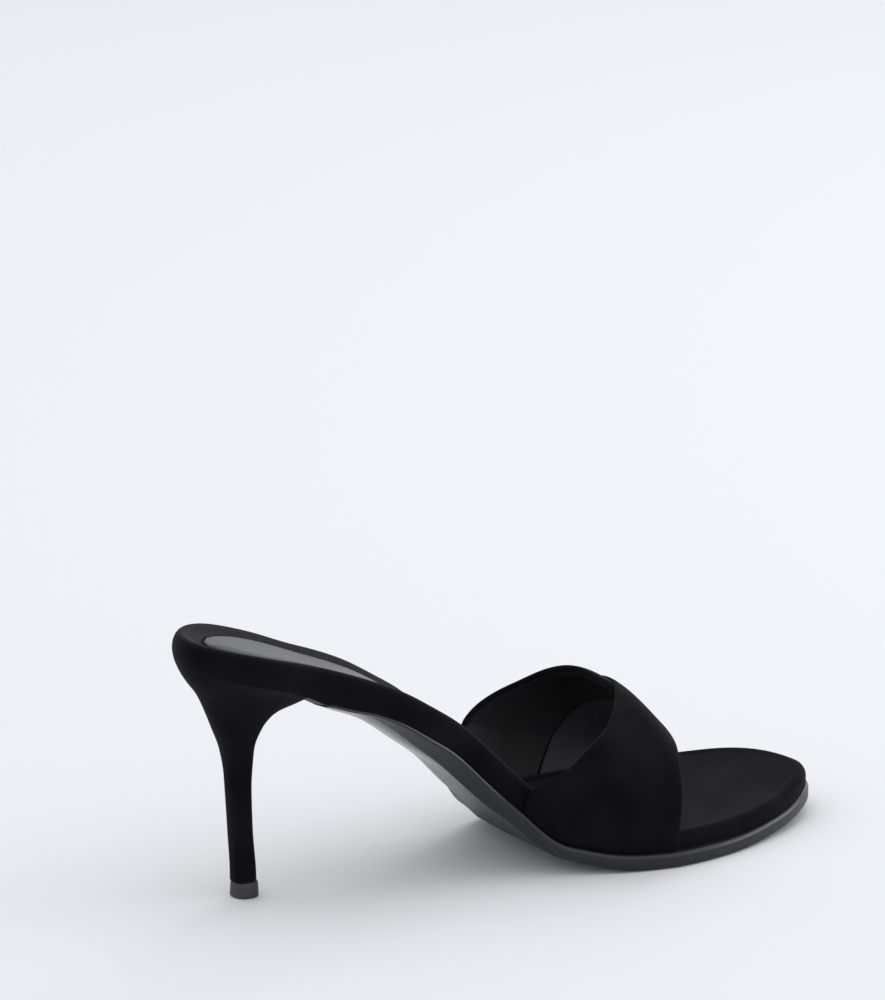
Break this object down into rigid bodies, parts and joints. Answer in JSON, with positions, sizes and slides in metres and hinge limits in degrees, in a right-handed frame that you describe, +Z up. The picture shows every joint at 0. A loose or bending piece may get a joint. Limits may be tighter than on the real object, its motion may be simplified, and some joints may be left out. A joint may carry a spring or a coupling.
{
  "type": "crossover-band mule sandal with a high heel",
  "caption": "Open-toed right-foot mule: two wide velvet bands cross over the forefoot, on a velvet-wrapped footbed, slim high heel and thin sole.",
  "frame": {"origin": "middle of the shoe's box in plan, on the floor plane that the forefoot and the heel tip stand on", "axes": "+X from the heel to the toe, +Y to the inner (medial) side of the foot, +Z up"},
  "size_m": [0.2186, 0.0824, 0.0802],
  "materials": {
    "velvet": "black velvet with a short soft pile",
    "sock_leather": "smooth black leather, semi-gloss",
    "outsole_leather": "polished black leather with a bevelled edge",
    "toplift_rubber": "matt dark grey rubber"
  },
  "bodies": {
    "root": {"upper": "velvet", "footbed": "velvet", "heel": "velvet", "sock": "sock_leather", "outsole": "outsole_leather", "toplift": "toplift_rubber"}
  },
  "joints": []
}
